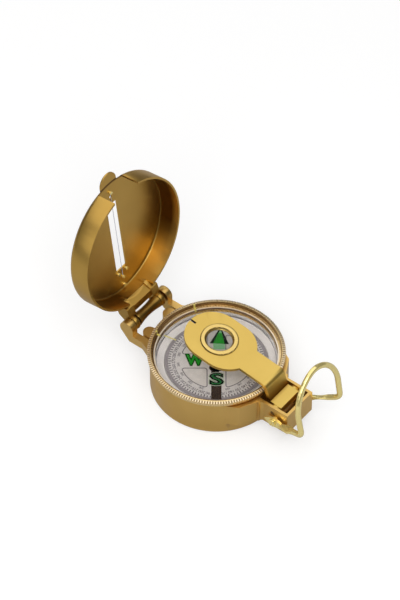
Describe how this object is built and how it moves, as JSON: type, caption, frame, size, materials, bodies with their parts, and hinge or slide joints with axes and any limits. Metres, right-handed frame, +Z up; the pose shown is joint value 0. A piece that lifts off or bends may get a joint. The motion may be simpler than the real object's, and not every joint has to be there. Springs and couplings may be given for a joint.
{
  "type": "folding magnetic compass",
  "caption": "Folding lensatic compass with a hinged slotted cover and sight wire, tilting lens bracket, turning reeded bezel, floating dial and wire thumb loop.",
  "frame": {"origin": "centre of the flat foot of the round case", "axes": "+Z up through the dial, +Y towards the cover hinge, +X along the hinge axes"},
  "size_m": [0.058, 0.1087, 0.0866],
  "materials": {
    "satin_gold_paint": "satin gold paint over die-cast metal",
    "pale_gold_paint": "paler satin gold paint",
    "polished_brass": "bright, lightly polished",
    "steel": "plain drawn steel",
    "clear_glass": "clear and polished",
    "capsule_plastic": "pale grey, moulded",
    "gasket_rubber": "pale grey, smooth",
    "dial_face": "pale lilac grey with printed marks",
    "magnet_steel": "dark, sintered",
    "luminous_paint": "yellow-green luminous paint"
  },
  "bodies": {
    "case_body": {"case": "satin_gold_paint", "capsule_cup": "capsule_plastic", "capsule_gasket": "gasket_rubber", "capsule_window": "clear_glass", "pivot_post": "steel", "bezel_retainer": "steel", "hinge_pin": "steel", "bracket_pin": "steel", "leaf_spring": "steel", "spring_rivet": "steel", "loop_screws": "polished_brass"},
    "bezel": {"bezel_ring": "polished_brass", "crystal": "clear_glass", "crystal_ring": "polished_brass", "luminous_lines": "luminous_paint"},
    "dial": {"dial_card": "dial_face", "dial_magnet": "magnet_steel", "dial_jewel": "polished_brass"},
    "cover": {"cover_shell": "satin_gold_paint", "sight_wire": "steel", "wire_pegs": "polished_brass"},
    "lens_arm": {"lens_bracket": "pale_gold_paint", "lens": "clear_glass", "lens_ring": "pale_gold_paint"},
    "loop": {"thumb_loop": "polished_brass"}
  },
  "joints": [
    {"name": "cover_hinge", "type": "hinge", "parent": "case_body", "child": "cover", "pos_m": [0, 0.0362, 0.0188], "axis": [-1, 0, 0], "range_deg": [-96.7, 83.3]},
    {"name": "lens_bracket_hinge", "type": "hinge", "parent": "case_body", "child": "lens_arm", "pos_m": [0, -0.0345, 0.0134], "axis": [1, 0, 0], "range_deg": [-7.2, 82.8]},
    {"name": "thumb_loop_pivot", "type": "hinge", "parent": "case_body", "child": "loop", "pos_m": [0, -0.036, 0.0105], "axis": [1, 0, 0], "range_deg": [-64, 90]},
    {"name": "bezel_turn", "type": "hinge", "parent": "case_body", "child": "bezel", "pos_m": [0, 0, 0.0172], "axis": [0, 0, 1], "continuous": true},
    {"name": "dial_turn", "type": "hinge", "parent": "case_body", "child": "dial", "pos_m": [0, 0, 0.0127], "axis": [0, 0, 1], "continuous": true}
  ]
}
